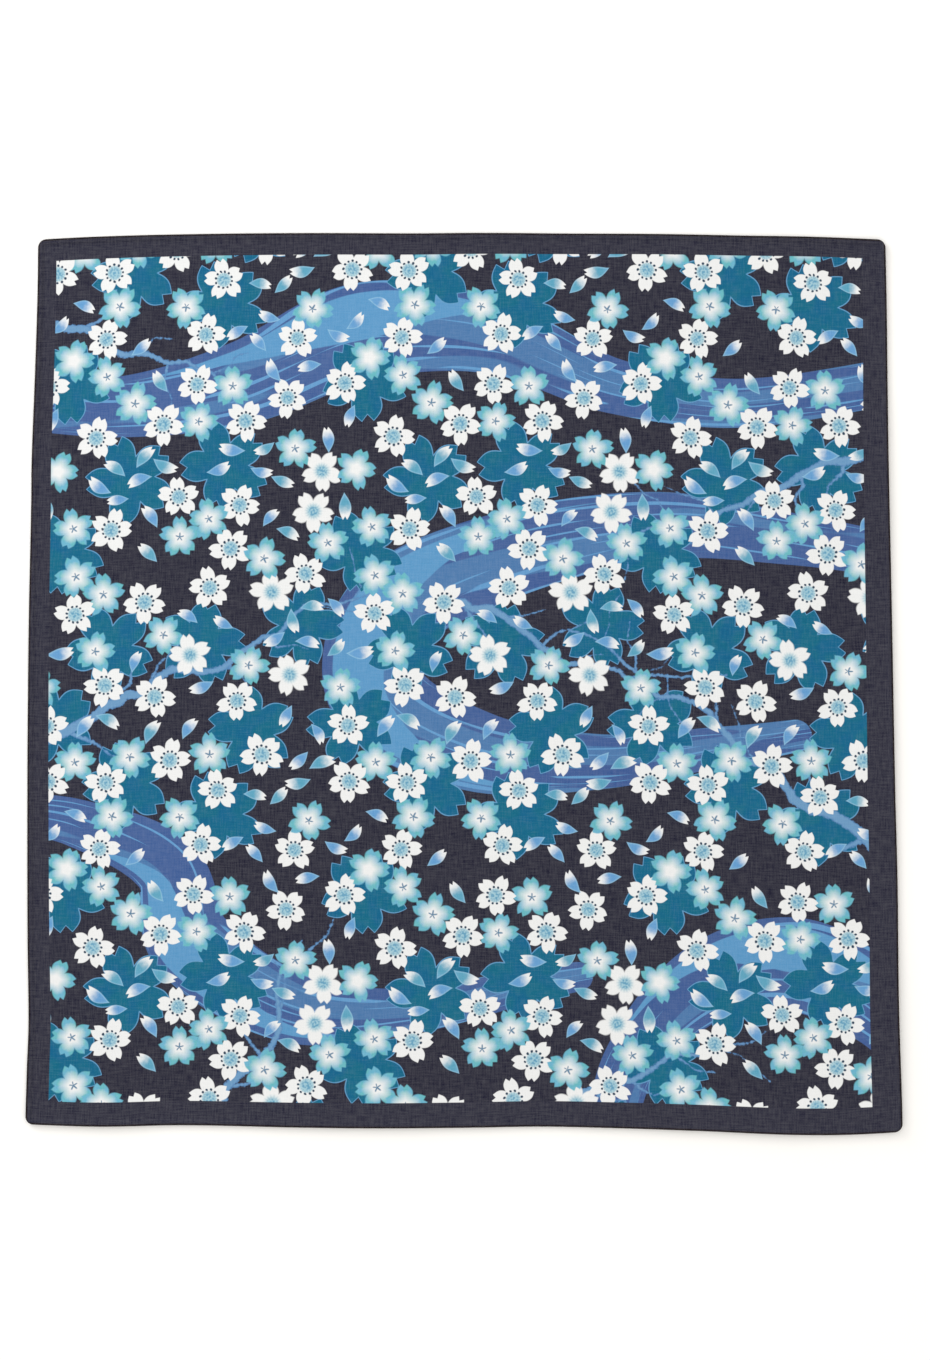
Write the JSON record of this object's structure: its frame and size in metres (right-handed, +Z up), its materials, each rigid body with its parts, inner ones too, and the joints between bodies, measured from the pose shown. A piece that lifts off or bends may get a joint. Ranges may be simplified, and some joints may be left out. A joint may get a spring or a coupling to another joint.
{
  "type": "bandana laid flat",
  "caption": "Near-square thin cotton bandana with a narrow turned hem, opened out and laid flat, printed side up, its near and right edges standing a little off the surface.",
  "frame": {"origin": "under the middle of the laid cloth, on the surface it lies on", "axes": "+Z up out of the printed side, +X to the right and +Y to the far hem as seen from the near hem"},
  "size_m": [0.5396, 0.5554, 0.0039],
  "materials": {
    "printed_cotton": "matte"
  },
  "bodies": {
    "root": {"cloth": "printed_cotton"}
  },
  "joints": []
}
